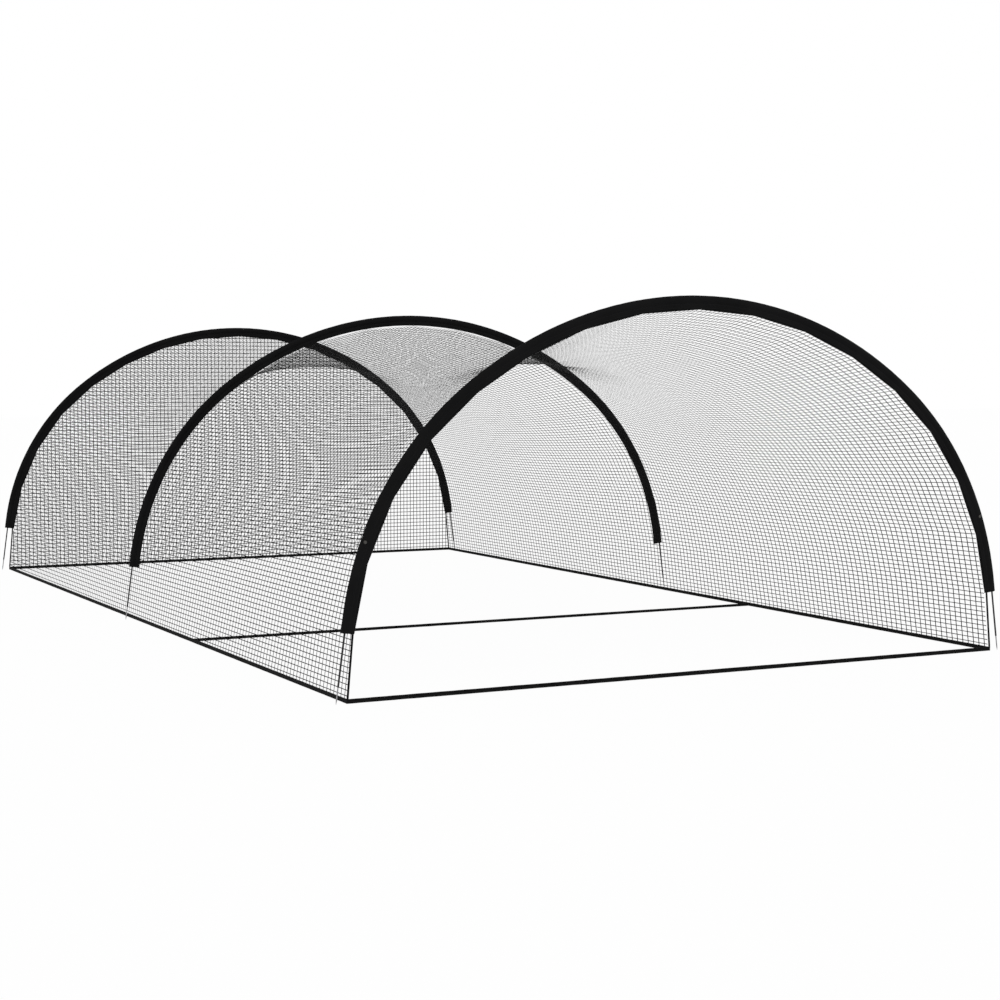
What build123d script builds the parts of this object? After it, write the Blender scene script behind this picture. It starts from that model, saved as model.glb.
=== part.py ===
from build123d import *

import os
from math import cos, radians, sin, tan

# Golf practice net: a tunnel of netting carried by three bent poles in fabric sleeves, closed at the
# rear and open at the front and underneath. Millimetres, +Z up. The origin is on the ground at the
# centre of the footprint, X runs across the tunnel and Y along it; the open front faces -Y.

# ---- overall sizes -----------------------------------------------------------------------------
LENGTH = 9000.0               # front sleeve to rear sleeve
HEIGHT = 2500.0               # ground to the top of the sleeves
NET_WIDTH = 5000.0            # ground hem to ground hem
POLE_SPREAD = 5150.0          # between the pole axes at the ground

# ---- line of the bent poles --------------------------------------------------------------------
LEG_LEAN = 7.8                # degrees that the legs lean inwards
STRAIGHT_HEIGHT = 500.0       # height to which a leg stays straight
SHOULDER_TURN = 51.4          # degrees from upright at which the shoulder bend meets the crown bend

# ---- poles, ferrules and spikes ----------------------------------------------------------------
SECTIONS_PER_POLE = 8
POLE_DIAMETER = 12.0
FERRULE_LENGTH = 80.0
FERRULE_WALL = 1.5
FERRULE_CLEARANCE = 0.1       # radial, pole in ferrule
STOP_GAP = 0.3                # between the ends of two pieces that push up against each other
SPIKE_DIAMETER = 8.0
SPIKE_EXPOSED = 105.0         # leg's end above the tip of the spike
SPIKE_SEAT = 50.0             # thinner shank inside the leg
SPIKE_SHANK_DIAMETER = 7.4
SPIKE_CLEARANCE = 0.1         # radial, shank in leg
SPIKE_POINT = 25.0
SPIKE_TIP_RADIUS = 1.0

# ---- sleeves -----------------------------------------------------------------------------------
SLEEVE_MOUTH = 432.0          # distance up the leg to the open end of a sleeve
SLEEVE_OUTER = 27.0           # pole axis to the sleeve's outer edge
SLEEVE_INNER = 59.0           # pole axis to the sleeve's inner edge
SLEEVE_EDGE = 4.0             # thickness at both edges
POCKET_CLEARANCE = 0.5        # radial, ferrule in pocket
POCKET_WALL = 2.2
POCKET_FLAT = 16.0            # width of the flat over the pocket
FLANGE_WIDTH = 33.0           # flat margin along the inner edge, where the net is sewn on

# ---- netting and its edges ---------------------------------------------------------------------
TIES_PER_SIDE = 8             # straight spans of net between a sleeve's end and its top
NET_THICKNESS = 3.0
NET_SAG = 347.0               # how far the net hangs in at the top, half way between two sleeves
SAG_RISE = 1.35               # above 1, the sag starts more slowly at the ground
SAG_CURVE = 1.7               # 2 is a parabola from sleeve to sleeve
PANELS_PER_BAY = 6            # straight lengths of net between two sleeves
SEW_GAP = 0.3                 # between sewn pieces
TAPE_THICKNESS = 3.0
TAPE_OVERLAP = 25.0           # tape on the sleeve's inner margin
TAPE_REACH = 6.0              # tape past the sleeve's inner edge
EDGE_HEM_DIAMETER = 14.0
WALL_SPANS = 5                # spans of net in each side wall, counted from the ground

# ---- ground hems and straps --------------------------------------------------------------------
HEM_HEIGHT = 28.0
HEM_WIDTH = 12.0
SILL_WIDTH = 14.0
CROSS_STRAP_HEIGHT = 22.0
CROSS_STRAP_POSITION = -1480.0  # along Y

# ---- press studs on the front sleeve -----------------------------------------------------------
STUD_DIAMETER = 22.0
STUD_THICKNESS = 3.0
STUD_EDGE = 1.0

# ---- the arch that every sleeve, pole and net span follows ---------------------------------------
lean = radians(LEG_LEAN)
foot_x = POLE_SPREAD / 2
pole_top = HEIGHT - SLEEVE_OUTER
straight_top_x = foot_x - STRAIGHT_HEIGHT * tan(lean)
meeting = radians(SHOULDER_TURN)
crown_rise = (1 - sin(meeting)) / cos(meeting)
rise_left = pole_top - STRAIGHT_HEIGHT - crown_rise * straight_top_x
shoulder_radius = rise_left / (1 - sin(lean) - crown_rise * cos(lean))
shoulder_x = straight_top_x - shoulder_radius * cos(lean)
shoulder_z = STRAIGHT_HEIGHT - shoulder_radius * sin(lean)
crown_radius = shoulder_radius + shoulder_x / cos(meeting)
crown_z = pole_top - crown_radius
straight_end = STRAIGHT_HEIGHT / cos(lean)
shoulder_end = straight_end + shoulder_radius * (meeting - lean)
half_length = shoulder_end + crown_radius * (radians(90) - meeting)
pole_length = 2 * half_length
section_length = pole_length / SECTIONS_PER_POLE
bends = [straight_end, shoulder_end, pole_length - shoulder_end, pole_length - straight_end]


def along(distance, inset=0.0):
    """Point of the arch (x, z), measured along the pole axis from the right foot and set inwards."""
    if distance > half_length:
        x, z = along(pole_length - distance, inset)
        return (-x, z)
    if distance <= straight_end:
        x = foot_x - distance * sin(lean) - inset * cos(lean)
        return (x, distance * cos(lean) - inset * sin(lean))
    if distance <= shoulder_end:
        turn = lean + (distance - straight_end) / shoulder_radius
        radius = shoulder_radius - inset
        return (shoulder_x + radius * cos(turn), shoulder_z + radius * sin(turn))
    turn = meeting + (distance - shoulder_end) / crown_radius
    radius = crown_radius - inset
    return (radius * cos(turn), crown_z + radius * sin(turn))


def upright(y):
    """Plane of an arch at y, with its own x across and its own y up."""
    return Plane.XZ.offset(-y)


def draw_arch(start, end):
    """Draw the pole axis between two distances along it."""
    stops = [start] + [bend for bend in bends if start < bend < end] + [end]
    for near, far in zip(stops, stops[1:]):
        if far <= straight_end or near >= pole_length - straight_end:
            Line(along(near), along(far))
        else:
            ThreePointArc(along(near), along((near + far) / 2), along(far))


def section_plane(path):
    """Plane across a path at its start, with x pointing into the tunnel for a path from the right."""
    direction = path % 0
    return Plane(origin=path @ 0, x_dir=direction.cross(Vector(0, 1, 0)), z_dir=direction)


def leg_plane(y, side, distance=0.0):
    """Plane across a leg; side is 1 at the right and -1 at the left."""
    plane = Plane(origin=(side * foot_x, y, 0), z_dir=(-side * sin(lean), 0, cos(lean)))
    return plane.offset(distance)


def write(shape, name):
    """Label a finished piece and write it to its own file."""
    shape.label = name
    export_step(shape, f"parts/{name}.step")


os.makedirs("parts", exist_ok=True)
arches = {"front": -LENGTH / 2, "middle": 0.0, "rear": LENGTH / 2}
sides = {"right": 1, "left": -1}

# ---- sleeves: a pocket for the pole, flat towards both edges -------------------------------------
ferrule_bore_radius = POLE_DIAMETER / 2 + FERRULE_CLEARANCE
ferrule_radius = ferrule_bore_radius + FERRULE_WALL
pocket_radius = ferrule_radius + POCKET_CLEARANCE
pocket_half = pocket_radius + POCKET_WALL
edge_half = SLEEVE_EDGE / 2
flange_start = SLEEVE_INNER - FLANGE_WIDTH

for arch, y in arches.items():
    with BuildPart() as sleeve:
        with BuildLine(upright(y)) as sleeve_path:
            draw_arch(SLEEVE_MOUTH, pole_length - SLEEVE_MOUTH)
        with BuildSketch(section_plane(sleeve_path.line)):
            with BuildLine():
                Polyline(
                    (-SLEEVE_OUTER, 0),
                    (-SLEEVE_OUTER, edge_half),
                    (-POCKET_FLAT / 2, pocket_half),
                    (POCKET_FLAT / 2, pocket_half),
                    (flange_start, edge_half),
                    (SLEEVE_INNER, edge_half),
                    (SLEEVE_INNER, 0),
                )
                mirror(about=Plane.XZ)
            make_face()
            Circle(pocket_radius, mode=Mode.SUBTRACT)
        sweep(path=sleeve_path.line)
    write(sleeve.part, f"{arch}_sleeve")

# ---- poles: two legs and the bent sections between them ------------------------------------------
spike_shoulder = SPIKE_EXPOSED - STOP_GAP
for arch, y in arches.items():
    for side_name, side in sides.items():
        start = SPIKE_EXPOSED
        end = section_length - STOP_GAP
        with BuildPart() as leg:
            with BuildLine(upright(y)) as leg_path:
                if side == 1:
                    draw_arch(start, end)
                else:
                    draw_arch(pole_length - end, pole_length - start)
            with BuildSketch(section_plane(leg_path.line)):
                Circle(POLE_DIAMETER / 2)
            sweep(path=leg_path.line)
            with BuildSketch(leg_plane(y, side, SPIKE_EXPOSED)):
                Circle(SPIKE_SHANK_DIAMETER / 2 + SPIKE_CLEARANCE)
            extrude(amount=SPIKE_SEAT + STOP_GAP, mode=Mode.SUBTRACT)
        write(leg.part, f"{arch}_{side_name}_leg_pole")

        with BuildPart() as spike:
            with BuildSketch(leg_plane(y, side, SPIKE_TIP_RADIUS * tan(lean))):
                Circle(SPIKE_TIP_RADIUS)
            with BuildSketch(leg_plane(y, side, SPIKE_POINT)):
                Circle(SPIKE_DIAMETER / 2)
            loft()
            with BuildSketch(leg_plane(y, side, SPIKE_POINT)):
                Circle(SPIKE_DIAMETER / 2)
            extrude(amount=spike_shoulder - SPIKE_POINT)
            with BuildSketch(leg_plane(y, side, spike_shoulder)):
                Circle(SPIKE_SHANK_DIAMETER / 2)
            extrude(amount=SPIKE_SEAT)
        write(spike.part, f"{arch}_{side_name}_ground_spike")

    for number in range(1, SECTIONS_PER_POLE - 1):
        with BuildPart() as section:
            with BuildLine(upright(y)) as section_path:
                draw_arch(number * section_length, (number + 1) * section_length)
            with BuildSketch(section_plane(section_path.line)):
                Circle(POLE_DIAMETER / 2)
            sweep(path=section_path.line)
        write(section.part, f"{arch}_pole_section_{number}")

    # One ferrule over every joint of the pole.
    ferrules = []
    for number in range(1, SECTIONS_PER_POLE):
        joint = number * section_length
        with BuildPart() as ferrule:
            with BuildLine(upright(y)) as ferrule_path:
                draw_arch(joint - FERRULE_LENGTH / 2, joint + FERRULE_LENGTH / 2)
            with BuildSketch(section_plane(ferrule_path.line)):
                Circle(ferrule_radius)
                Circle(ferrule_bore_radius, mode=Mode.SUBTRACT)
            sweep(path=ferrule_path.line)
        ferrules.append(ferrule.part)
    write(Compound(children=ferrules), f"{arch}_ferrules")

# ---- press studs: at the lowest pole joint, on the front face of the front sleeve ----------------
studs = []
for side in sides.values():
    stud_x, stud_z = along(section_length)
    with BuildPart() as stud:
        with BuildSketch(upright(arches["front"] - pocket_half)):
            with Locations((side * stud_x, stud_z)):
                Circle(STUD_DIAMETER / 2)
        extrude(amount=STUD_THICKNESS)
        fillet(stud.edges().group_by(Axis.Y)[0], STUD_EDGE)
    studs.append(stud.part)
write(Compound(children=studs), "front_sleeve_studs")

# ---- netting: tied along the sleeves' inner edges, and hanging inwards between the sleeves --------
net_bottom = HEM_HEIGHT + SEW_GAP
net_inset = SLEEVE_INNER + SEW_GAP
net_front = -LENGTH / 2 + edge_half + SEW_GAP + TAPE_THICKNESS + SEW_GAP
rear_net_front = -net_front - NET_THICKNESS
tie_pitch = (half_length - SLEEVE_MOUTH) / TIES_PER_SIDE
tie_count = 2 * TIES_PER_SIDE + 1


def tie_line(inset, slack=0.0):
    """Corners of the arch's tied polygon, from the right sleeve end to the left one.

    slack is the share of the full sag, 0 at a sleeve and 1 half way between two sleeves.
    """
    corners = []
    for number in range(tie_count):
        distance = SLEEVE_MOUTH + number * tie_pitch
        share = min(distance, pole_length - distance) / half_length
        sag = NET_SAG * sin(radians(90) * share**SAG_RISE)
        corners.append(along(distance, inset + slack * sag))
    return corners


def net_line(inset, slack=0.0):
    """Corners of the net from ground to ground; inset is measured like that of the ties."""
    ground_x = NET_WIDTH / 2 + NET_THICKNESS / 2 - (inset - net_inset)
    return [(ground_x, net_bottom)] + tie_line(inset, slack) + [(-ground_x, net_bottom)]


def spans(outer, inner, front, back):
    """Flat spans between two polygons, each a solid of its own that meets the next along a mitre."""
    solids = []
    for number in range(len(outer) - 1):
        with BuildPart() as span:
            with BuildSketch(upright(front)):
                with BuildLine():
                    corners = (outer[number], outer[number + 1], inner[number + 1], inner[number])
                    Polyline(*corners, close=True)
                make_face()
            extrude(amount=front - back)
        solids.append(span.part)
    return Compound(children=solids)


def net_panels(first, last):
    """Panels of the hanging net between two of its corners, each a solid that meets the next."""
    solids = []
    for front, back in ((net_front, 0.0), (0.0, net_rear)):
        for step in range(PANELS_PER_BAY):
            ends = (step / PANELS_PER_BAY, (step + 1) / PANELS_PER_BAY)
            for number in range(first, last):
                with BuildPart() as panel:
                    for share in ends:
                        slack = 1 - abs(2 * share - 1) ** SAG_CURVE
                        outer = net_line(net_inset, slack)[number : number + 2]
                        inner = net_line(net_inset + NET_THICKNESS, slack)[number : number + 2]
                        with BuildSketch(upright(front + share * (back - front))):
                            with BuildLine():
                                Polyline(*outer, *reversed(inner), close=True)
                            make_face()
                    loft(ruled=True)
                solids.append(panel.part)
    return Compound(children=solids)


net_outside = net_line(net_inset)
span_count = len(net_outside) - 1
net_rear = rear_net_front - SEW_GAP
net_nodes = {
    "right_net_wall": (0, WALL_SPANS),
    "net_roof": (WALL_SPANS, span_count - WALL_SPANS),
    "left_net_wall": (span_count - WALL_SPANS, span_count),
}
for name, (first, last) in net_nodes.items():
    write(net_panels(first, last), name)

with BuildPart() as rear_net:
    with BuildSketch(upright(rear_net_front)):
        with BuildLine():
            Polyline(*net_outside, close=True)
        make_face()
    extrude(amount=-NET_THICKNESS)
write(rear_net.part, "rear_net")

# ---- edge tapes: sewn between the net's ends and the front and rear sleeves ----------------------
tape_outside = tie_line(SLEEVE_INNER - TAPE_OVERLAP)
tape_inside = tie_line(SLEEVE_INNER + TAPE_REACH)
tape_front = -LENGTH / 2 + edge_half + SEW_GAP
tape_back = tape_front + TAPE_THICKNESS
write(spans(tape_outside, tape_inside, tape_front, tape_back), "front_net_tape")
write(spans(tape_outside, tape_inside, -tape_back, -tape_front), "rear_net_tape")

# ---- edge hems: rolled edges of the net, from the sleeve ends down to the ground hems ------------
edge_inset = SLEEVE_INNER - EDGE_HEM_DIAMETER / 2
edge_foot_lift = SEW_GAP + EDGE_HEM_DIAMETER / 2 * tan(lean)
edge_y = -net_front + SEW_GAP + EDGE_HEM_DIAMETER / 2
for arch, y in {"front": -edge_y, "rear": edge_y}.items():
    for side_name, side in sides.items():
        top_x, top_z = along(SLEEVE_MOUTH - SEW_GAP, edge_inset)
        with BuildPart() as edge_hem:
            with BuildLine(upright(y)) as edge_path:
                Line((side * NET_WIDTH / 2, HEM_HEIGHT + edge_foot_lift), (side * top_x, top_z))
            with BuildSketch(section_plane(edge_path.line)):
                Circle(EDGE_HEM_DIAMETER / 2)
            sweep(path=edge_path.line)
        write(edge_hem.part, f"{arch}_{side_name}_edge_hem")

# ---- ground hems and straps ----------------------------------------------------------------------
sill_y = -net_front - NET_THICKNESS + SILL_WIDTH / 2 - SEW_GAP
hem_length = 2 * (sill_y - SILL_WIDTH / 2 - SEW_GAP)
sill_length = NET_WIDTH + HEM_WIDTH
strap_length = NET_WIDTH - HEM_WIDTH - 2 * SEW_GAP
ground_pieces = {
    "right_ground_hem": (NET_WIDTH / 2, 0, HEM_WIDTH, hem_length, HEM_HEIGHT),
    "left_ground_hem": (-NET_WIDTH / 2, 0, HEM_WIDTH, hem_length, HEM_HEIGHT),
    "front_sill_strap": (0, -sill_y, sill_length, SILL_WIDTH, HEM_HEIGHT),
    "rear_ground_hem": (0, sill_y, sill_length, SILL_WIDTH, HEM_HEIGHT),
    "cross_strap": (0, CROSS_STRAP_POSITION, strap_length, HEM_WIDTH, CROSS_STRAP_HEIGHT),
}
for name, (x, y, across, lengthways, height) in ground_pieces.items():
    with BuildPart() as ground_piece:
        with BuildSketch(Plane.XY):
            with Locations((x, y)):
                Rectangle(across, lengthways)
        extrude(amount=height)
    write(ground_piece.part, name)
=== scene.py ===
from math import atan2, ceil, cos, pi, radians, sin, tan

import bmesh
import bpy
import numpy as np
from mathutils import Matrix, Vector


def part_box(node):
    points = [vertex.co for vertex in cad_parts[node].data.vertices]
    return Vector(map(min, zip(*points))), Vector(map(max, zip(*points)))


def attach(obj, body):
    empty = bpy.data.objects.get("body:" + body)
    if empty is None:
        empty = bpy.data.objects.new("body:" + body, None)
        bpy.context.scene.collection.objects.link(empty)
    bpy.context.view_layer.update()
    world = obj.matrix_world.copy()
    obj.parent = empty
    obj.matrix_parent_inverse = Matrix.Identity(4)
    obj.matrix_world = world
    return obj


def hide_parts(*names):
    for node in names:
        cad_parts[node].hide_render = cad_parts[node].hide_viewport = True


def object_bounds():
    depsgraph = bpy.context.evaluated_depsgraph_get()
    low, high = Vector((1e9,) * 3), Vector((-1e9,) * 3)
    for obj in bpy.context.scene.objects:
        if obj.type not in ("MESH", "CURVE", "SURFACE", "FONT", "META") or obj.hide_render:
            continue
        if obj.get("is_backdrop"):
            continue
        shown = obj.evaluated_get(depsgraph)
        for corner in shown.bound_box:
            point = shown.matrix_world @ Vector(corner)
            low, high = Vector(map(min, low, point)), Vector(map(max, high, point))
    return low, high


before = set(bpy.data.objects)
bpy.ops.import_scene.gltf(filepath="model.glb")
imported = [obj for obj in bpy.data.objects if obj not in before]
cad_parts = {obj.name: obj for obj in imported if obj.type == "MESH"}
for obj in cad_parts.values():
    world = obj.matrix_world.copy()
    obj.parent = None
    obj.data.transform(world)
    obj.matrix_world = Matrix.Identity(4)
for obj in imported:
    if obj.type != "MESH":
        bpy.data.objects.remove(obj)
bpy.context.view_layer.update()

mainBody = "net_and_hoops"
print("frame loaded:", len(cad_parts), "nodes")

# the line that poles, sleeves and net follow, measured from the right foot
arch = {
    "footX": 2.575,
    "lean": radians(7.8),
    "straightHeight": 0.500,
    "shoulderTurn": radians(51.4),
    "height": 2.500,
    "sleeveOuter": 0.027,   # pole axis to the outer edge of a sleeve
    "sleeveInner": 0.059,
    "mouth": 0.432,         # up the leg to the open end of a sleeve
    "halfLength": 4.500,
}
lean, meeting = arch["lean"], arch["shoulderTurn"]
poleTop = arch["height"] - arch["sleeveOuter"]
straightTopX = arch["footX"] - arch["straightHeight"] * tan(lean)
crownRise = (1 - sin(meeting)) / cos(meeting)
riseLeft = poleTop - arch["straightHeight"] - crownRise * straightTopX
shoulderRadius = riseLeft / (1 - sin(lean) - crownRise * cos(lean))
shoulderX = straightTopX - shoulderRadius * cos(lean)
shoulderZ = arch["straightHeight"] - shoulderRadius * sin(lean)
crownRadius = shoulderRadius + shoulderX / cos(meeting)
crownZ = poleTop - crownRadius
straightEnd = arch["straightHeight"] / cos(lean)
shoulderEnd = straightEnd + shoulderRadius * (meeting - lean)
archHalf = shoulderEnd + crownRadius * (pi / 2 - meeting)


def archPoint(distance, inset=0.0):
    if distance > archHalf:
        x, z = archPoint(2 * archHalf - distance, inset)
        return -x, z
    if distance <= straightEnd:
        return (arch["footX"] - distance * sin(lean) - inset * cos(lean),
                distance * cos(lean) - inset * sin(lean))
    if distance <= shoulderEnd:
        turn = lean + (distance - straightEnd) / shoulderRadius
        reach = shoulderRadius - inset
        return shoulderX + reach * cos(turn), shoulderZ + reach * sin(turn)
    turn = meeting + (distance - shoulderEnd) / crownRadius
    reach = crownRadius - inset
    return reach * cos(turn), crownZ + reach * sin(turn)


def archPlace(x, z):
    # back from points of the arch to how far along it they lie, and how far inwards
    right = np.abs(x)
    legAlong = (arch["footX"] - right) * sin(lean) + z * cos(lean)
    legIn = (arch["footX"] - right) * cos(lean) - z * sin(lean)
    shoulderAngle = np.arctan2(z - shoulderZ, right - shoulderX)
    crownAngle = np.arctan2(z - crownZ, right)
    onLeg = legAlong <= straightEnd
    onShoulder = ~onLeg & (shoulderAngle <= meeting)
    along = np.where(onLeg, legAlong, np.where(
        onShoulder, straightEnd + (shoulderAngle - lean) * shoulderRadius,
        shoulderEnd + (crownAngle - meeting) * crownRadius))
    inwards = np.where(onLeg, legIn, np.where(
        onShoulder, shoulderRadius - np.hypot(right - shoulderX, z - shoulderZ),
        crownRadius - np.hypot(right, z - crownZ)))
    return np.where(x < 0, 2 * archHalf - along, along), inwards


# small helpers for modelling by operators
sameSpot = 1e-6     # corners nearer than this are one


def onlySelect(piece):
    if bpy.context.mode != "OBJECT":
        bpy.ops.object.mode_set(mode="OBJECT")
    bpy.ops.object.select_all(action="DESELECT")
    piece.select_set(True)
    bpy.context.view_layer.objects.active = piece


def applyAll(piece):
    onlySelect(piece)
    for modifier in list(piece.modifiers):
        bpy.ops.object.modifier_apply(modifier=modifier.name)


def selectCorners(piece, test):
    bpy.ops.mesh.select_mode(type="VERT")
    bpy.ops.mesh.select_all(action="DESELECT")
    mesh = bmesh.from_edit_mesh(piece.data)
    for corner in mesh.verts:
        if test(corner):
            corner.select_set(True)
    mesh.select_flush_mode()
    bmesh.update_edit_mesh(piece.data)


def drawOutline(name, points, closed=True, fill=False):
    # a plane merged to one corner and extruded from point to point
    bpy.ops.object.select_all(action="DESELECT")
    bpy.ops.mesh.primitive_plane_add(size=0.01, location=points[0])
    piece = bpy.context.object
    piece.name = piece.data.name = name
    bpy.ops.object.transform_apply(location=True, rotation=True, scale=True)
    bpy.ops.object.mode_set(mode="EDIT")
    bpy.ops.mesh.select_mode(type="VERT")
    bpy.ops.mesh.select_all(action="SELECT")
    bpy.ops.mesh.merge(type="CENTER")
    for here, there in zip(points, points[1:]):
        step = Vector(there) - Vector(here)
        bpy.ops.mesh.extrude_vertices_move(TRANSFORM_OT_translate={"value": step})
    if closed:
        first, last = Vector(points[0]), Vector(points[-1])
        selectCorners(piece, lambda corner: min(
            (corner.co - first).length, (corner.co - last).length) < sameSpot)
        bpy.ops.mesh.edge_face_add()
    bpy.ops.mesh.select_all(action="SELECT")
    if fill:
        bpy.ops.mesh.edge_face_add()
    return piece


def extrudeSteps(step, count):
    for number in range(count):
        bpy.ops.mesh.extrude_region_move(TRANSFORM_OT_translate={"value": step})


def mergeDoubles(distance):
    bpy.ops.mesh.select_all(action="SELECT")
    bpy.ops.mesh.remove_doubles(threshold=distance)


def turnOutwards():
    bpy.ops.mesh.select_all(action="SELECT")
    bpy.ops.mesh.normals_make_consistent(inside=False)
    bpy.ops.object.mode_set(mode="OBJECT")


def smoothUnder(degrees):
    bpy.ops.object.shade_smooth_by_angle(angle=radians(degrees))


def joinPieces(pieces, name):
    bpy.ops.object.select_all(action="DESELECT")
    for piece in pieces:
        piece.select_set(True)
    bpy.context.view_layer.objects.active = pieces[0]
    bpy.ops.object.join()
    joined = bpy.context.object
    joined.name = joined.data.name = name
    return joined


def addWrinkles(piece, size, depth):
    clouds = bpy.data.textures.new(piece.name + "Wrinkles", "CLOUDS")
    clouds.noise_scale = size
    clouds.noise_depth = 1
    wrinkles = piece.modifiers.new("wrinkles", "DISPLACE")
    wrinkles.texture = clouds
    wrinkles.texture_coords = "LOCAL"
    wrinkles.strength = depth
    wrinkles.mid_level = 0.5


def pieceUv(piece, name, place):
    # u and v in metres for every corner, from a function of the corners' positions
    mesh = piece.data
    co = np.zeros(len(mesh.vertices) * 3)
    mesh.vertices.foreach_get("co", co)
    u, v = place(co.reshape(-1, 3))
    corner = np.zeros(len(mesh.loops), dtype=np.int64)
    mesh.loops.foreach_get("vertex_index", corner)
    layer = mesh.uv_layers.new(name=name)
    layer.data.foreach_set("uv", np.column_stack([u[corner], v[corner]]).ravel())


# shared node groups, and a short way to write nodes
class Nodes:
    def __init__(self, tree):
        self.tree = tree

    def add(self, kind, **settings):
        node = self.tree.nodes.new(kind)
        for key, value in settings.items():
            setattr(node, key, value)
        return node

    def join(self, start, end):
        self.tree.links.new(start, end)

    def math(self, operation, first, second=None, third=None):
        node = self.add("ShaderNodeMath", operation=operation)
        for socket, value in zip(node.inputs, (first, second, third)):
            if value is None:
                continue
            if isinstance(value, (int, float)):
                socket.default_value = value
            else:
                self.join(value, socket)
        return node.outputs[0]

    def noise(self, vector, scale, detail=2.0, rough=0.5):
        node = self.add("ShaderNodeTexNoise")
        node.inputs["Scale"].default_value = scale
        node.inputs["Detail"].default_value = detail
        node.inputs["Roughness"].default_value = rough
        self.join(vector, node.inputs["Vector"])
        return node.outputs["Fac"]

    def remap(self, value, low, high, newLow=0.0, newHigh=1.0):
        node = self.add("ShaderNodeMapRange")
        self.join(value, node.inputs["Value"])
        for socket, number in zip(node.inputs[1:5], (low, high, newLow, newHigh)):
            socket.default_value = number
        return node.outputs[0]

    def mixColor(self, factor, first, second):
        node = self.add("ShaderNodeMix", data_type="RGBA")
        for socket, value in zip((node.inputs[0], node.inputs[6], node.inputs[7]),
                                 (factor, first, second)):
            if isinstance(value, (int, float, tuple)):
                socket.default_value = value
            else:
                self.join(value, socket)
        return node.outputs[2]


def newGroup(name, inputs, outputs):
    tree = bpy.data.node_groups.new(name, "ShaderNodeTree")
    for label, kind, value in inputs:
        socket = tree.interface.new_socket(name=label, in_out="INPUT", socket_type=kind)
        if value is not None:
            socket.default_value = value
    for label, kind in outputs:
        tree.interface.new_socket(name=label, in_out="OUTPUT", socket_type=kind)
    nodes = Nodes(tree)
    return nodes, nodes.add("NodeGroupInput").outputs, nodes.add("NodeGroupOutput").inputs


vectorKind, floatKind = "NodeSocketVector", "NodeSocketFloat"

# plain weave: threads over and under in both directions, thread is their spacing in metres
nodes, given, out = newGroup("plainWeave", [
    ("Vector", vectorKind, None), ("Thread", floatKind, 0.001)], [
    ("Height", floatKind), ("Gaps", floatKind)])
split = nodes.add("ShaderNodeSeparateXYZ")
nodes.join(given["Vector"], split.inputs[0])
turns = nodes.math("DIVIDE", pi, given["Thread"])
across = nodes.math("SINE", nodes.math("MULTIPLY", split.outputs[0], turns))
lengthways = nodes.math("SINE", nodes.math("MULTIPLY", split.outputs[1], turns))
crossing = nodes.math("MULTIPLY", across, lengthways)
ridges = nodes.math("MULTIPLY", nodes.math("ABSOLUTE", across), nodes.math("ABSOLUTE", lengthways))
height = nodes.math("ADD", nodes.math("MULTIPLY", crossing, 0.35), ridges)
nodes.join(height, out["Height"])
nodes.join(nodes.remap(ridges, 0.0, 0.35, 1.0, 0.0), out["Gaps"])

# a row of stitches at one place across the cloth; vector is (along, across, 0) in metres
nodes, given, out = newGroup("stitchRow", [
    ("Vector", vectorKind, None), ("Place", floatKind, 0.0), ("Pitch", floatKind, 0.005),
    ("Width", floatKind, 0.0007)], [("Thread", floatKind), ("Groove", floatKind)])
split = nodes.add("ShaderNodeSeparateXYZ")
nodes.join(given["Vector"], split.inputs[0])
offRow = nodes.math("ABSOLUTE", nodes.math("SUBTRACT", split.outputs[1], given["Place"]))
phase = nodes.math("FRACT", nodes.math("DIVIDE", split.outputs[0], given["Pitch"]))
offMiddle = nodes.math("ABSOLUTE", nodes.math("SUBTRACT", phase, 0.5))
lengthMask = nodes.remap(offMiddle, 0.36, 0.42, 1.0, 0.0)
share = nodes.math("DIVIDE", offRow, given["Width"])
nodes.join(nodes.math("MULTIPLY", lengthMask, nodes.remap(share, 0.5, 0.8, 1.0, 0.0)), out["Thread"])
nodes.join(nodes.remap(share, 1.0, 3.5, 1.0, 0.0), out["Groove"])

# dust and rubbing: soft blotches that lighten and roughen a surface, heavier near the ground
nodes, given, out = newGroup("dustAndWear", [
    ("Vector", vectorKind, None), ("Reach", floatKind, 0.35)], [("Mask", floatKind)])
split = nodes.add("ShaderNodeSeparateXYZ")
nodes.join(given["Vector"], split.inputs[0])
low = nodes.math("SUBTRACT", 1.0, nodes.math("MINIMUM", nodes.math(
    "DIVIDE", split.outputs[2], given["Reach"]), 1.0))
blotches = nodes.remap(nodes.noise(given["Vector"], 9.0, 5.0, 0.62), 0.42, 0.72)
nodes.join(nodes.math("MULTIPLY", blotches, nodes.math("ADD", nodes.math(
    "MULTIPLY", low, 0.75), 0.25)), out["Mask"])

# laid twine: strands that run round in a long twist; vector is (round, along, 0)
nodes, given, out = newGroup("laidTwine", [
    ("Vector", vectorKind, None), ("Lay", floatKind, 0.012)], [
    ("Height", floatKind), ("Hollow", floatKind)])
split = nodes.add("ShaderNodeSeparateXYZ")
nodes.join(given["Vector"], split.inputs[0])
lead = nodes.math("DIVIDE", split.outputs[1], given["Lay"])
strand = nodes.math("ABSOLUTE", nodes.math("SINE", nodes.math("MULTIPLY", nodes.math(
    "ADD", nodes.math("MULTIPLY", split.outputs[0], 3.0), lead), pi)))
nodes.join(strand, out["Height"])
nodes.join(nodes.remap(strand, 0.0, 0.4, 1.0, 0.0), out["Hollow"])


def useGroup(nodes, name, vector, **values):
    node = nodes.add("ShaderNodeGroup")
    node.node_tree = bpy.data.node_groups[name]
    nodes.join(vector, node.inputs["Vector"])
    for label, value in values.items():
        node.inputs[label].default_value = value
    return node.outputs


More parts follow.
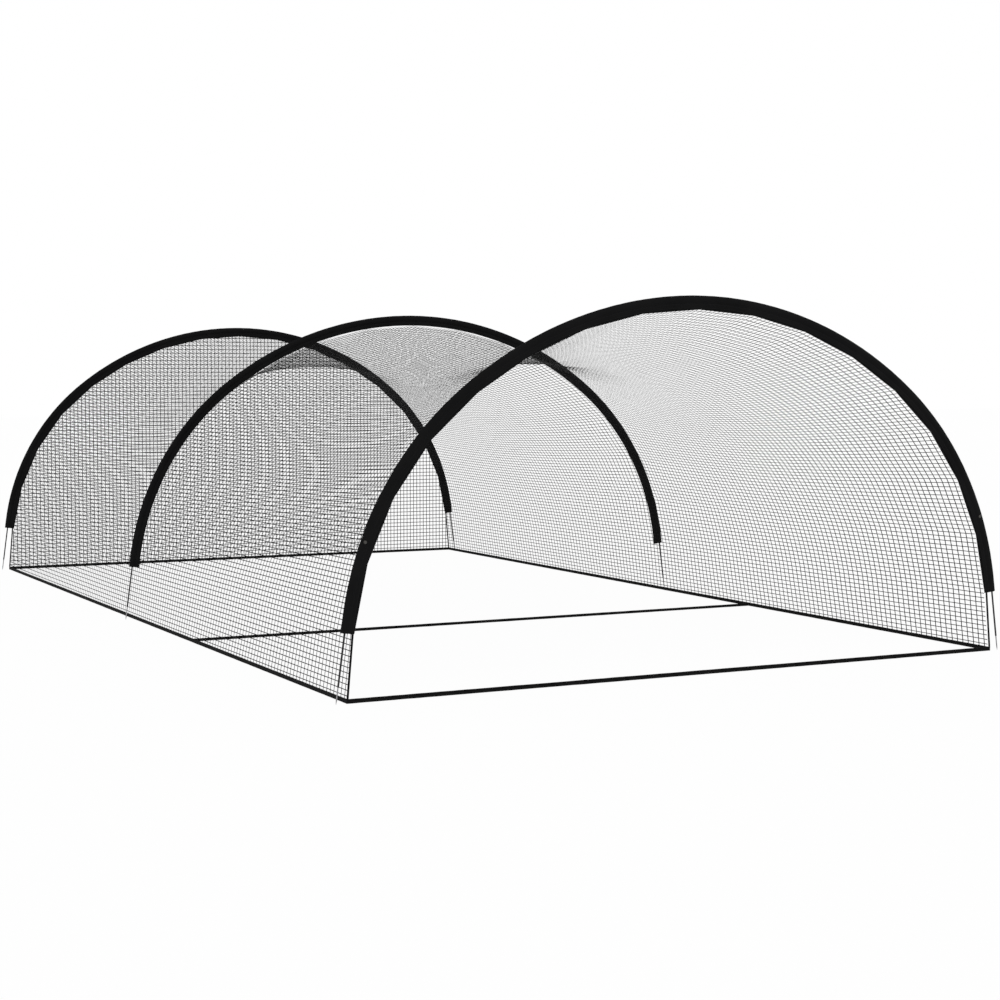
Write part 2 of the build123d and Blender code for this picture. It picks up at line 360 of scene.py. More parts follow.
def newMaterial(name, roughness, specular, sheen=0.0, metallic=0.0):
    material = bpy.data.materials.new(name)
    material.use_nodes = True
    tree = material.node_tree
    shader = tree.nodes["Principled BSDF"]
    shader.inputs["Roughness"].default_value = roughness
    shader.inputs["Specular IOR Level"].default_value = specular
    shader.inputs["Sheen Weight"].default_value = sheen
    shader.inputs["Sheen Roughness"].default_value = 0.5
    shader.inputs["Metallic"].default_value = metallic
    nodes = Nodes(tree)
    place = nodes.add("ShaderNodeTexCoord").outputs["Object"]
    return material, nodes, shader, place


def bumpInto(nodes, shader, height, distance, strength=0.6):
    bump = nodes.add("ShaderNodeBump")
    bump.inputs["Distance"].default_value = distance
    bump.inputs["Strength"].default_value = strength
    nodes.join(height, bump.inputs["Height"])
    nodes.join(bump.outputs["Normal"], shader.inputs["Normal"])


# painted shade: the near-black that the gaps between threads and between strands are darkened towards
paintedHollowShade = (0.002, 0.002, 0.002, 1)     # between threads and between strands


def clothMaterial(look):
    # woven black cloth with rows of stitches, a little dust, lighter threads, and painted shade between
    # the threads
    material, nodes, shader, place = newMaterial(
        look["name"], look["roughness"], look["specular"], look["sheen"])
    uv = nodes.add("ShaderNodeUVMap", uv_map="cloth").outputs[0]
    weave = useGroup(nodes, "plainWeave", uv, Thread=look["thread"])
    dust = useGroup(nodes, "dustAndWear", place, Reach=look["dustReach"])["Mask"]
    patches = nodes.remap(nodes.noise(place, 3.5, 4.0), 0.3, 0.7)
    color = nodes.mixColor(patches, look["dark"], look["light"])
    # painted shade: the gaps between the threads are darkened half way to near-black
    color = nodes.mixColor(nodes.math("MULTIPLY", weave["Gaps"], 0.5), color, paintedHollowShade)
    color = nodes.mixColor(nodes.math("MULTIPLY", dust, look["dust"]), color, look["dustColor"])
    height = nodes.math("MULTIPLY", weave["Height"], 0.3)
    for row in look["rows"]:
        stitches = useGroup(nodes, "stitchRow", uv, Place=row, Pitch=look["stitch"],
                            Width=look["threadWidth"])
        color = nodes.mixColor(stitches["Thread"], color, look["threadColor"])
        height = nodes.math("ADD", height, nodes.math("SUBTRACT", nodes.math(
            "MULTIPLY", stitches["Thread"], 1.6), nodes.math("MULTIPLY", stitches["Groove"], 1.3)))
    nodes.join(color, shader.inputs["Base Color"])
    nodes.join(nodes.math("ADD", nodes.math("MULTIPLY", dust, 0.08), look["roughness"]),
               shader.inputs["Roughness"])
    bumpInto(nodes, shader, height, look["relief"])
    return material


sleeveCloth = clothMaterial({
    "name": "sleeveCloth", "roughness": 0.85, "specular": 0.07, "sheen": 0.01,
    "thread": 0.0009, "dark": (0.0050, 0.0050, 0.0053, 1), "light": (0.0076, 0.0076, 0.0080, 1),
    "dust": 0.18, "dustColor": (0.030, 0.028, 0.025, 1), "dustReach": 0.9,
    "rows": (0.0285, 0.0540), "stitch": 0.0048, "threadWidth": 0.0011,
    "threadColor": (0.016, 0.016, 0.017, 1), "relief": 0.0005,
})
hemCloth = clothMaterial({
    "name": "hemCloth", "roughness": 0.88, "specular": 0.07, "sheen": 0.01,
    "thread": 0.0016, "dark": (0.0034, 0.0034, 0.0037, 1), "light": (0.0058, 0.0058, 0.0062, 1),
    "dust": 0.22, "dustColor": (0.034, 0.031, 0.027, 1), "dustReach": 0.05,
    "rows": (0.0125,), "stitch": 0.0060, "threadWidth": 0.0014,
    "threadColor": (0.017, 0.017, 0.018, 1), "relief": 0.0007,
})
edgeCloth = clothMaterial({
    "name": "edgeCloth", "roughness": 0.85, "specular": 0.07, "sheen": 0.01,
    "thread": 0.0012, "dark": (0.0042, 0.0042, 0.0045, 1), "light": (0.0066, 0.0066, 0.0070, 1),
    "dust": 0.15, "dustColor": (0.030, 0.028, 0.025, 1), "dustReach": 0.5,
    "rows": (0.006, 0.025), "stitch": 0.0050, "threadWidth": 0.0011,
    "threadColor": (0.016, 0.016, 0.017, 1), "relief": 0.0005,
})

# twine of the netting, with painted shade in the grooves between its strands
twineLook = {
    "roughness": (0.62, 0.8), "specular": 0.06, "lay": 0.011,
    "dark": (0.0040, 0.0040, 0.0043, 1), "light": (0.0072, 0.0072, 0.0076, 1),
    "hollowShade": 0.6, "patches": 2.2, "fuzz": 60.0, "relief": 0.0005,
}
smoothest, roughest = twineLook["roughness"]
twineBlack, nodes, shader, place = newMaterial("twineBlack", roughest, twineLook["specular"])
uv = nodes.add("ShaderNodeUVMap", uv_map="twine").outputs[0]
lay = useGroup(nodes, "laidTwine", uv, Lay=twineLook["lay"])
tone = nodes.remap(nodes.noise(place, twineLook["patches"], 3.0), 0.3, 0.7)
color = nodes.mixColor(tone, twineLook["dark"], twineLook["light"])
# painted shade: the grooves between the strands are darkened towards near-black
color = nodes.mixColor(nodes.math("MULTIPLY", lay["Hollow"], twineLook["hollowShade"]), color, paintedHollowShade)
nodes.join(color, shader.inputs["Base Color"])
fuzz = nodes.noise(place, twineLook["fuzz"], 2.0)
nodes.join(nodes.remap(fuzz, 0.3, 0.7, smoothest, roughest), shader.inputs["Roughness"])
bumpInto(nodes, shader, lay["Height"], twineLook["relief"], 0.5)

# glass fibre rod with fine lengthwise streaks and dull scuffs
rodLook = {
    "roughness": 0.42, "specular": 0.3, "streaks": (900.0, 900.0, 22.0),
    "dark": (0.008, 0.008, 0.009, 1), "light": (0.018, 0.018, 0.019, 1), "relief": 0.00008,
    "scuffs": 38.0, "scuffed": 0.5, "scuffColor": (0.05, 0.05, 0.05, 1), "scuffRoughness": 0.25,
}
fibreRod, nodes, shader, place = newMaterial("fibreRod", rodLook["roughness"], rodLook["specular"])
stretch = nodes.add("ShaderNodeMapping")
stretch.inputs["Scale"].default_value = rodLook["streaks"]
nodes.join(place, stretch.inputs["Vector"])
streaks = nodes.remap(nodes.noise(stretch.outputs[0], 1.0, 3.0), 0.3, 0.7)
scuffs = nodes.remap(nodes.noise(place, rodLook["scuffs"], 6.0, 0.7), 0.55, 0.75)
color = nodes.mixColor(streaks, rodLook["dark"], rodLook["light"])
color = nodes.mixColor(nodes.math("MULTIPLY", scuffs, rodLook["scuffed"]), color, rodLook["scuffColor"])
nodes.join(color, shader.inputs["Base Color"])
nodes.join(nodes.math("ADD", nodes.math("MULTIPLY", scuffs, rodLook["scuffRoughness"]),
                      rodLook["roughness"]), shader.inputs["Roughness"])
bumpInto(nodes, shader, streaks, rodLook["relief"], 0.4)


def metalMaterial(look):
    material, nodes, shader, place = newMaterial(look["name"], look["roughness"], 0.5,
                                                 metallic=look["metallic"])
    grain = nodes.add("ShaderNodeMapping")
    grain.inputs["Scale"].default_value = look["grain"]
    nodes.join(place, grain.inputs["Vector"])
    drawn = nodes.remap(nodes.noise(grain.outputs[0], 1.0, 4.0), 0.3, 0.7)
    spangle = nodes.remap(nodes.noise(place, look["spangle"], 3.0), 0.35, 0.65)
    soil = useGroup(nodes, "dustAndWear", place, Reach=look["soilReach"])["Mask"]
    color = nodes.mixColor(spangle, look["dark"], look["light"])
    color = nodes.mixColor(nodes.math("MULTIPLY", soil, look["soil"]), color, look["soilColor"])
    nodes.join(color, shader.inputs["Base Color"])
    nodes.join(nodes.math("ADD", nodes.math("MULTIPLY", drawn, 0.12), nodes.math(
        "ADD", nodes.math("MULTIPLY", soil, 0.2), look["roughness"])), shader.inputs["Roughness"])
    bumpInto(nodes, shader, drawn, 0.00006, 0.35)
    return material


zincSteel = metalMaterial({
    "name": "zincSteel", "roughness": 0.38, "metallic": 0.55, "grain": (700.0, 700.0, 40.0),
    "spangle": 160.0, "dark": (0.22, 0.22, 0.23, 1), "light": (0.34, 0.34, 0.35, 1),
    "soil": 0.3, "soilColor": (0.30, 0.28, 0.25, 1), "soilReach": 0.12,
})
drawnSteel = metalMaterial({
    "name": "drawnSteel", "roughness": 0.32, "metallic": 1.0, "grain": (500.0, 500.0, 60.0),
    "spangle": 60.0, "dark": (0.42, 0.43, 0.44, 1), "light": (0.60, 0.61, 0.62, 1),
    "soil": 0.2, "soilColor": (0.20, 0.19, 0.18, 1), "soilReach": 0.4,
})
studPaint = metalMaterial({
    "name": "studPaint", "roughness": 0.45, "metallic": 0.2, "grain": (300.0, 300.0, 300.0),
    "spangle": 90.0, "dark": (0.036, 0.034, 0.030, 1), "light": (0.055, 0.052, 0.046, 1),
    "soil": 0.3, "soilColor": (0.12, 0.11, 0.10, 1), "soilReach": 1.4,
})
print("materials made")


def finishPiece(piece, material, slot, *nodesReplaced):
    if bpy.context.mode != "OBJECT":
        bpy.ops.object.mode_set(mode="OBJECT")
    piece.data.materials.clear()
    piece.data.materials.append(material)
    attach(piece, mainBody)
    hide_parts(*nodesReplaced)


view = {
    "lens": 68.223,
    "sensor": 36.0,
    "shift": 0.020,
    "place": (-6.8576, -14.9891, 1.9624),
    "tilt": 0.06434,        # down from level
    "turn": -0.46421,       # from the tunnel's own direction, to the right
    "nearest": 0.1,
    "farthest": 300.0,
}
camera = bpy.data.cameras.new("camera")
camera.lens = view["lens"]
camera.sensor_width = view["sensor"]
camera.shift_x = view["shift"]
camera.clip_start = view["nearest"]
camera.clip_end = view["farthest"]
cameraObject = bpy.data.objects.new("camera", camera)
cameraObject.location = view["place"]
cameraObject.rotation_euler = (pi / 2 - view["tilt"], 0.0, view["turn"])
bpy.context.scene.collection.objects.link(cameraObject)
bpy.context.scene.camera = cameraObject

# netting of the tunnel: long twines from front to rear, cross twines round the arch
netting = {
    "longTwine": 0.0056,    # widths of the flat twines
    "crossTwine": 0.0091,
    "twineDepth": 0.0007,
    "knot": 0.0104,
    "knotDepth": 0.0010,
    "knotStretch": 1.15,    # along the cross twine
    "alongPitch": 0.0578,   # between cross twines
    "acrossPitch": 0.0340,  # between long twines
    "inset": 0.0610,        # pole axis to the middle of the net
    "sag": 0.347,           # how far the net hangs in at the top, half way between two sleeves
    "sagRise": 1.35,        # above 1, the sag starts more slowly at the ground
    "sagCurve": 1.7,        # 2 is a parabola from sleeve to sleeve
    "front": -4.4944,
    "rear": 4.4911,
    "hemTop": 0.0283,
    "intoHem": 0.004,       # how far the twines run down into the ground hem
    "groundX": 2.500,
    "ties": 8,              # straight spans between a sleeve's end and its top
    "wallSpans": 5,
    "endGap": 0.007,        # from the ends of the long twines to the tape
    "endRagged": 0.003,
    "rearGap": 0.001,
    "wander": 0.0002,       # how unevenly the knots are tied
    "wanderMost": 0.001,
    "samples": 321,         # of the round line of the arch
    "seed": 7,
}
tiePitch = (archHalf - arch["mouth"]) / netting["ties"]
tieCorners, tieHang, tieDistances = [], [], []
for number in range(2 * netting["ties"] + 1):
    distance = arch["mouth"] + number * tiePitch
    share = min(distance, 2 * archHalf - distance) / archHalf
    sag = netting["sag"] * sin(pi / 2 * share ** netting["sagRise"])
    tieCorners.append(archPoint(distance, netting["inset"]))
    lowest = archPoint(distance, netting["inset"] + sag)
    tieHang.append((lowest[0] - tieCorners[-1][0], lowest[1] - tieCorners[-1][1]))
    tieDistances.append(distance)
netCorners = np.array([(netting["groundX"], netting["hemTop"])] + tieCorners
                      + [(-netting["groundX"], netting["hemTop"])])
netHang = np.array([(0.0, 0.0)] + tieHang + [(0.0, 0.0)])
cornerAt = np.concatenate([[0], np.cumsum(np.hypot(*np.diff(netCorners, axis=0).T))])
netWidth = cornerAt[-1]
# how far the round arch stands out from the straight spans between the ties
roundAt = np.linspace(cornerAt[1], cornerAt[-2], netting["samples"])
roundOut = np.array([archPoint(float(distance), netting["inset"]) for distance in np.interp(
    roundAt, cornerAt[1:-1], tieDistances)])
roundOut -= np.stack([np.interp(roundAt, cornerAt, netCorners[:, k]) for k in (0, 1)], 1)


def slackAt(y):
    # 0 at a sleeve, 1 half way between two sleeves
    end = np.where(y < 0, netting["front"], netting["rear"])
    return 1 - np.abs(2 * y / end - 1).clip(0, 1) ** netting["sagCurve"]


def netPoint(across, y):
    slack = slackAt(y)
    return [np.interp(across, cornerAt, netCorners[:, k])
            + slack * (np.interp(across, cornerAt, netHang[:, k])
                       + np.interp(across, roundAt, roundOut[:, k])) for k in (0, 1)]


def tubeRings(path, side, up, width):
    # three corners round every point: flat against the net, with a low ridge on one face
    wide = np.array([0.5, -0.5, 0.0]) * width
    deep = np.array([-0.5, -0.5, 0.5]) * netting["twineDepth"]
    return path[..., None, :] + wide[:, None] * side[..., None, :] + deep[:, None] * up[..., None, :]


class TwineMesh:
    def __init__(self):
        self.verts, self.faces, self.uvs, self.count = [], [], [], 0

    def addLines(self, rings, run):
        lines, stations = rings.shape[:2]
        start = self.count + np.arange(lines)[:, None] * stations * 3 + np.arange(stations)[None] * 3
        self.verts.append(rings.reshape(-1, 3))
        self.count += rings.size // 3
        for corner in range(3):
            following = (corner + 1) % 3
            quads = np.stack([start[:, :-1] + corner, start[:, :-1] + following,
                              start[:, 1:] + following, start[:, 1:] + corner], -1)
            self.faces += quads.reshape(-1, 4).tolist()
            u0, u1 = corner / 3, (corner + 1) / 3
            uv = np.zeros(quads.shape + (2,))
            uv[..., 0] = (u0, u1, u1, u0)
            uv[..., 1] = np.stack([run[:, :-1], run[:, :-1], run[:, 1:], run[:, 1:]], -1)
            self.uvs.append(uv.reshape(-1, 2))
        for caps, order in ((start[:, 0], (2, 1, 0)), (start[:, -1], (0, 1, 2))):
            self.faces += np.stack([caps + corner for corner in order], -1).tolist()
            self.uvs.append(np.zeros((lines * 3, 2)))

    def addKnots(self, middles, along, across, out, size):
        # an eight-faced lump round each crossing, longer along the cross twine
        tips = np.stack([middles + along * size[0], middles + across * size[1],
                         middles - along * size[0], middles - across * size[1],
                         middles + out * size[2], middles - out * size[2]], 1)
        start = self.count + np.arange(len(middles)) * 6
        self.verts.append(tips.reshape(-1, 3))
        self.count += tips.size // 3
        flip = np.einsum("ij,ij->i", np.cross(along, across), out) < 0
        for corner in range(4):
            following = (corner + 1) % 4
            upper = np.stack([start + corner, start + following, start + 4], -1)
            lower = np.stack([start + following, start + corner, start + 5], -1)
            for faces in (upper, lower):
                faces[flip] = faces[flip][:, ::-1]
                self.faces += faces.tolist()
                self.uvs.append(np.tile([[0.0, 0.0], [0.3, 0.004], [0.1, 0.008]], (len(faces), 1)))

    def build(self, name):
        mesh = bpy.data.meshes.new(name)
        mesh.from_pydata(np.concatenate(self.verts).tolist(), [], self.faces)
        layer = mesh.uv_layers.new(name="twine")
        layer.data.foreach_set("uv", np.concatenate(self.uvs).ravel())
        mesh.shade_smooth()
        piece = bpy.data.objects.new(name, mesh)
        bpy.context.scene.collection.objects.link(piece)
        return piece


wander = np.random.RandomState(netting["seed"])
longCount = int(round(netWidth / netting["acrossPitch"]))
acrossAt = (np.arange(longCount) + 0.5) * netWidth / longCount
crossCount = int((netting["rear"] - netting["front"]) / netting["alongPitch"])
alongAt = (netting["front"] + netting["rear"]) / 2 + netting["alongPitch"] * (
    np.arange(crossCount) - (crossCount - 1) / 2)
crossings = np.zeros((longCount, crossCount, 3))
nudge = wander.normal(0, netting["wander"], (longCount, crossCount, 3)).clip(
    -netting["wanderMost"], netting["wanderMost"])
crossings[..., 1] = alongAt + nudge[..., 1]
placeX, placeZ = netPoint(acrossAt[:, None] + nudge[..., 0] * 0.8, crossings[..., 1])
crossings[..., 0] = placeX
crossings[..., 2] = placeZ
# directions along, across and out of the hanging net at every crossing
flatNet = np.zeros_like(crossings)
flatNet[..., 1] = alongAt
flatNet[..., 0], flatNet[..., 2] = netPoint(acrossAt[:, None], flatNet[..., 1])
lengthways = np.gradient(flatNet, axis=1)
slope = np.gradient(flatNet, axis=0)
lengthways /= np.linalg.norm(lengthways, axis=2, keepdims=True)
slope /= np.linalg.norm(slope, axis=2, keepdims=True)
outward = np.cross(slope, lengthways)
outward /= np.linalg.norm(outward, axis=2, keepdims=True)
outward *= np.sign(outward[..., 2:] * 2 + outward[..., :1] * np.sign(placeX[..., None]))
crossings += outward * (nudge[..., 2:] * 0.5)


def toGround(ends):
    ends[:, 0] = np.sign(ends[:, 0]) * netting["groundX"]
    ends[:, 2] = netting["hemTop"] - netting["intoHem"]


wallEnd = cornerAt[netting["wallSpans"]]
bands = {
    "right_net_wall": (0.0, wallEnd),
    "net_roof": (wallEnd, netWidth - wallEnd),
    "left_net_wall": (netWidth - wallEnd, netWidth),
}
middleCross = int(np.argmin(np.abs(alongAt)))
for node, (low, high) in bands.items():
    rows = np.nonzero((acrossAt >= low) & (acrossAt < high))[0]
    first, last = rows[0], rows[-1]
    for bay, (start, end) in {"front": (0, middleCross + 1), "rear": (middleCross, crossCount)}.items():
        twines = TwineMesh()
        path = crossings[first:last + 1, start:end]
        if bay == "front":
            tips = netting["front"] + netting["endGap"] + wander.uniform(
                0, netting["endRagged"], (len(path), 1))
        else:
            tips = np.full((len(path), 1), netting["rear"] - netting["rearGap"])
        tipX, tipZ = netPoint(acrossAt[first:last + 1, None], tips)
        tips = np.stack([tipX, tips, tipZ], 2)
        columns = np.arange(start, end)
        if bay == "front":
            path, columns = np.concatenate([tips, path], 1), np.insert(columns, 0, start)
        else:
            path, columns = np.concatenate([path, tips], 1), np.append(columns, end - 1)
        side = slope[first:last + 1, columns]
        out = outward[first:last + 1, columns]
        twines.addLines(tubeRings(path, -side, out, netting["longTwine"]), path[..., 1])
        # cross twines run on to the next band, and down into the ground hem
        lowRow = max(first - 1, 0)
        path, up, side = (grid[lowRow:last + 1, start:end].transpose(1, 0, 2)
                          for grid in (crossings, outward, lengthways))
        if lowRow == 0:
            path, up, side = (np.concatenate([grid[:, :1], grid], 1) for grid in (path, up, side))
            toGround(path[:, 0])
        if last == longCount - 1:
            path, up, side = (np.concatenate([grid, grid[:, -1:]], 1) for grid in (path, up, side))
            toGround(path[:, -1])
        run = np.cumsum(np.concatenate([np.zeros((len(path), 1)), np.linalg.norm(
            np.diff(path, axis=1), axis=2)], 1), 1)
        twines.addLines(tubeRings(path, side, up, netting["crossTwine"]), run)
        knots = (slice(first, last + 1), slice(start, end if bay == "rear" else end - 1))
        half = netting["knot"] / 2
        size = (half, half * netting["knotStretch"], netting["knotDepth"] / 2)
        twines.addKnots(*(grid[knots].reshape(-1, 3) for grid in (
            crossings, lengthways, slope, outward)), size)
        piece = twines.build(f"{node}_{bay}_twines")
        finishPiece(piece, twineBlack, "net_twine", node)
        print(piece.name, len(piece.data.polygons), "faces")

# rear net: square mesh, upright and level twines
rearNet = {
    "pitch": 0.0403,
    "twine": 0.0067,
    "behind": 0.0018,       # from the end of the tunnel's net
    "edgeGap": 0.002,       # inside the tunnel's own section
    "sideCount": 62,        # upright twines at each side of the middle one
    "levels": 61,
    "clear": 0.004,         # from the last knot to the end of a twine
    "shortest": 0.02,       # upright twines below the sleeve's end
    "cornerTop": 0.43,
    "wander": 0.00014,
    "wanderMost": 0.0015,
}
rearY = netting["rear"] + rearNet["behind"]


def heightAt(x):
    return np.interp(x, netCorners[-2:0:-1, 0], netCorners[-2:0:-1, 1]) - rearNet["edgeGap"]


def halfWidthAt(z):
    rise = netCorners[:netting["ties"] + 2]
    return np.interp(z, rise[:, 1], rise[:, 0]) - rearNet["edgeGap"]


def rearWander(count):
    most = rearNet["wanderMost"]
    return wander.normal(0, rearNet["wander"], count).clip(-most, most)


def addRearTwine(x, z, side):
    path = np.zeros((1, max(np.size(x), np.size(z)), 3))
    path[0, :, 0], path[0, :, 1], path[0, :, 2] = x, rearY, z
    side, up = (np.broadcast_to(axis, path.shape) for axis in (side, (0.0, 1.0, 0.0)))
    twines.addLines(tubeRings(path, side, up, rearNet["twine"]), path[..., 2 if side[0, 0, 0] else 0])


twines = TwineMesh()
uprights = rearNet["pitch"] * np.arange(-rearNet["sideCount"], rearNet["sideCount"] + 1)
levels = netting["hemTop"] + rearNet["pitch"] * (np.arange(rearNet["levels"]) + 0.5)
sleeveX, sleeveZ = tieCorners[0]
knots = []
for x in uprights:
    if abs(x) > sleeveX - rearNet["edgeGap"]:
        slant = (abs(x) - netting["groundX"]) / (sleeveX - netting["groundX"])
        top = netting["hemTop"] + slant * (sleeveZ - netting["hemTop"])
        if not netting["hemTop"] + rearNet["shortest"] < top < rearNet["cornerTop"]:
            continue
    else:
        top = heightAt(x)
    inside = levels[levels < top - rearNet["clear"]]
    stations = np.concatenate([[netting["hemTop"] - netting["intoHem"]], inside, [top]])
    shift = rearWander(len(stations))
    addRearTwine(x + shift, stations, (-1.0, 0.0, 0.0))
    knots += [(x + off, rearY, z) for off, z in zip(shift[1:-1], inside)]
for z in levels:
    if z > netCorners[:, 1].max() - rearNet["edgeGap"] - rearNet["clear"]:
        continue
    reach = halfWidthAt(z)
    inside = uprights[np.abs(uprights) < reach - rearNet["clear"]]
    stations = np.concatenate([[-reach], inside, [reach]])
    addRearTwine(stations, z + rearWander(len(stations)), (0.0, 0.0, 1.0))
knots = np.array(knots)
axes = [np.broadcast_to(axis, knots.shape) for axis in (
    (1.0, 0.0, 0.0), (0.0, 0.0, 1.0), (0.0, -1.0, 0.0))]
half = netting["knot"] / 2
twines.addKnots(knots, *axes, (half, half, netting["knotDepth"] / 2))
piece = twines.build("rear_net_twines")
finishPiece(piece, twineBlack, "net_twine", "rear_net")
print("netting made,", len(piece.data.polygons), "faces in the rear net")

# sleeves: cloth folded round the pole, sewn along a seam, with a flat margin inside
sleeve = {
    # across from the pole axis towards the inside, and half the thickness there, in mm
    "outline": ((-27.0, 0.6), (-26.3, 2.4), (-22.5, 4.6), (-17.0, 7.4), (-11.0, 9.6), (-5.0, 10.6),
                (2.0, 10.8), (9.0, 10.0), (15.0, 7.6), (21.0, 4.6), (26.0, 2.3), (28.5, 1.5),
                (31.5, 2.1), (42.0, 2.3), (52.5, 2.1), (54.0, 1.6), (55.5, 2.0), (58.3, 1.7),
                (59.0, 0.6)),
    "cloth": 0.0011,
    "stepsLeg": 5,
    "stepsShoulder": 96,
    "stepsCrown": 270,
    "wrinkleSize": 0.045,
    "wrinkleDepth": 0.0016,
    "smoothUnder": 50,      # degrees
    "flat": (0.182, 7.10),  # the cloth before it is folded round the pole
}


def makeSleeve(name, y):
    startX, startZ = archPoint(arch["mouth"])
    across = [(u / 1000, t / 1000) for u, t in sleeve["outline"]]
    points = [(startX - u * cos(lean), y + t, startZ - u * sin(lean))
              for u, t in across + [(u, -t) for u, t in reversed(across)]]
    piece = drawOutline(name, points)
    legStep = Vector((-sin(lean), 0, cos(lean))) * (straightEnd - arch["mouth"]) / sleeve["stepsLeg"]
    extrudeSteps(legStep, sleeve["stepsLeg"])
    turns = (
        (shoulderX, shoulderZ, meeting - lean, sleeve["stepsShoulder"]),
        (0.0, crownZ, pi - 2 * meeting, sleeve["stepsCrown"]),
        (-shoulderX, shoulderZ, meeting - lean, sleeve["stepsShoulder"]),
    )
    for x, z, angle, steps in turns:
        bpy.ops.mesh.spin(steps=steps, angle=angle, center=(x, y, z), axis=(0, 1, 0))
    extrudeSteps(Vector((legStep.x, 0, -legStep.z)), sleeve["stepsLeg"])
    mergeDoubles(sameSpot)
    turnOutwards()
    addWrinkles(piece, sleeve["wrinkleSize"], sleeve["wrinkleDepth"])
    cloth = piece.modifiers.new("cloth", "SOLIDIFY")
    cloth.thickness = sleeve["cloth"]
    cloth.offset = -1.0
    applyAll(piece)
    smoothUnder(sleeve["smoothUnder"])
    pieceUv(piece, "cloth", lambda co: archPlace(co[:, 0], co[:, 2]))
    return piece


for row, y in {"front": -arch["halfLength"], "middle": 0.0, "rear": arch["halfLength"]}.items():
    piece = makeSleeve(f"{row}_sleeve_cloth", y)
    finishPiece(piece, sleeveCloth, "sleeve_fabric", f"{row}_sleeve")
    print(piece.name, len(piece.data.polygons), "faces", [round(v, 4) for v in piece.dimensions])

# edge tapes: flat straight lengths from tie to tie, mitred where they meet
tape = {
    "overlap": 0.025,       # on the sleeve's margin
    "reach": 0.006,         # past the sleeve's inner edge
    "thickness": 0.0026,
    "middle": -4.4962,      # of its thickness
    "spare": 1.1,           # length before the mitres are cut
    "bevel": 0.0006,
    "smoothUnder": 35,      # degrees
    "flat": (0.031, 7.06),
}
tapeOuter = [archPoint(arch["mouth"] + k * tiePitch, arch["sleeveInner"] - tape["overlap"])
             for k in range(2 * netting["ties"] + 1)]
tapeInner = [archPoint(arch["mouth"] + k * tiePitch, arch["sleeveInner"] + tape["reach"])
             for k in range(2 * netting["ties"] + 1)]
lengths = []
for k in range(2 * netting["ties"]):
    (ax, az), (bx, bz) = tapeOuter[k], tapeOuter[k + 1]
    (cx, cz), (dx, dz) = tapeInner[k], tapeInner[k + 1]
    middle = Vector(((ax + bx + cx + dx) / 4, tape["middle"], (az + bz + cz + dz) / 4))
    run = Vector((bx - ax, 0, bz - az))
    wide = abs((cx - ax) * run.z - (cz - az) * run.x) / run.length
    bpy.ops.object.select_all(action="DESELECT")
    bpy.ops.mesh.primitive_cube_add(size=1, location=middle,
                                    rotation=(0, -atan2(run.z, run.x), 0))
    piece = bpy.context.object
    piece.scale = (run.length * tape["spare"], tape["thickness"], wide)
    bpy.ops.object.transform_apply(location=True, rotation=True, scale=True)
    bpy.ops.object.mode_set(mode="EDIT")
    for (ox, oz), (ix, iz), sign in ((tapeOuter[k], tapeInner[k], -1),
                                     (tapeOuter[k + 1], tapeInner[k + 1], 1)):
        cut = Vector((iz - oz, 0, -(ix - ox))).normalized()
        if cut.dot(run) * sign < 0:
            cut.negate()
        bpy.ops.mesh.select_all(action="SELECT")
        bpy.ops.mesh.bisect(plane_co=(ox, tape["middle"], oz), plane_no=cut, use_fill=True,
                            clear_outer=True)
    turnOutwards()
    lengths.append(piece)
frontTape = joinPieces(lengths, "front_edge_tape")
soft = frontTape.modifiers.new("soft", "BEVEL")
soft.width = tape["bevel"]
soft.segments = 2
applyAll(frontTape)
smoothUnder(tape["smoothUnder"])
bpy.ops.object.duplicate()
rearTape = bpy.context.object
rearTape.name = rearTape.data.name = "rear_edge_tape"
bpy.ops.object.mode_set(mode="EDIT")
bpy.ops.mesh.select_all(action="SELECT")
bpy.ops.transform.translate(value=(0, -2 * tape["middle"], 0))
bpy.ops.object.mode_set(mode="OBJECT")


def tapeUv(co):
    along, inwards = archPlace(co[:, 0], co[:, 2])
    return along, inwards - (arch["sleeveInner"] - tape["overlap"])


for row, piece in {"front": frontTape, "rear": rearTape}.items():
    pieceUv(piece, "cloth", tapeUv)
    finishPiece(piece, edgeCloth, "edge_webbing", f"{row}_net_tape")
print("edge tapes made")

# rolled hems and straps on the ground
hem = {
    "height": 0.028,
    "width": 0.012,
    "sillWidth": 0.014,
    "strapHeight": 0.022,
    "strapY": -1.480,
    "step": 0.045,
    "waveSize": 0.09,
    "wave": 0.0016,
    "waist": 0.43,          # share of the height at which the roll is sewn
    "stitchRow": 0.0125,    # where the cloth's pattern has that row
    "smoothUnder": 60,      # degrees
}


def hemOutline(width, height):
    # a rolled edge with a flatter lower half, drawn in together along the stitching
    half = width / 2
    shape = ((-0.72, 0.02), (-0.97, 0.10), (-1.0, 0.22), (-0.86, 0.34), (-0.70, hem["waist"]),
             (-0.78, 0.52), (-0.96, 0.64), (-1.0, 0.78), (-0.84, 0.92), (-0.45, 0.99))
    right = [(-x, z) for x, z in reversed(shape)]
    return [(x * half, z * height) for x, z in shape + tuple(right)]


def makeHem(name, start, end, width, height):
    run = Vector(end) - Vector(start)
    sideways = Vector((run.y, -run.x, 0)).normalized()
    count = ceil(run.length / hem["step"])
    points = [Vector(start) + sideways * x + Vector((0, 0, z))
              for x, z in hemOutline(width, height)]
    piece = drawOutline(name, points, fill=True)
    extrudeSteps(run / count, count)
    turnOutwards()
    addWrinkles(piece, hem["waveSize"], hem["wave"])
    applyAll(piece)
    for corner in piece.data.vertices:      # nothing of the roll goes below the ground
        corner.co.z = max(corner.co.z, 0.0)
    smoothUnder(hem["smoothUnder"])
    axis = 1 if abs(run.y) > abs(run.x) else 0
    upwards = hem["stitchRow"] / (height * hem["waist"])
    pieceUv(piece, "cloth", lambda co: (co[:, axis], co[:, 2] * upwards))
    return piece


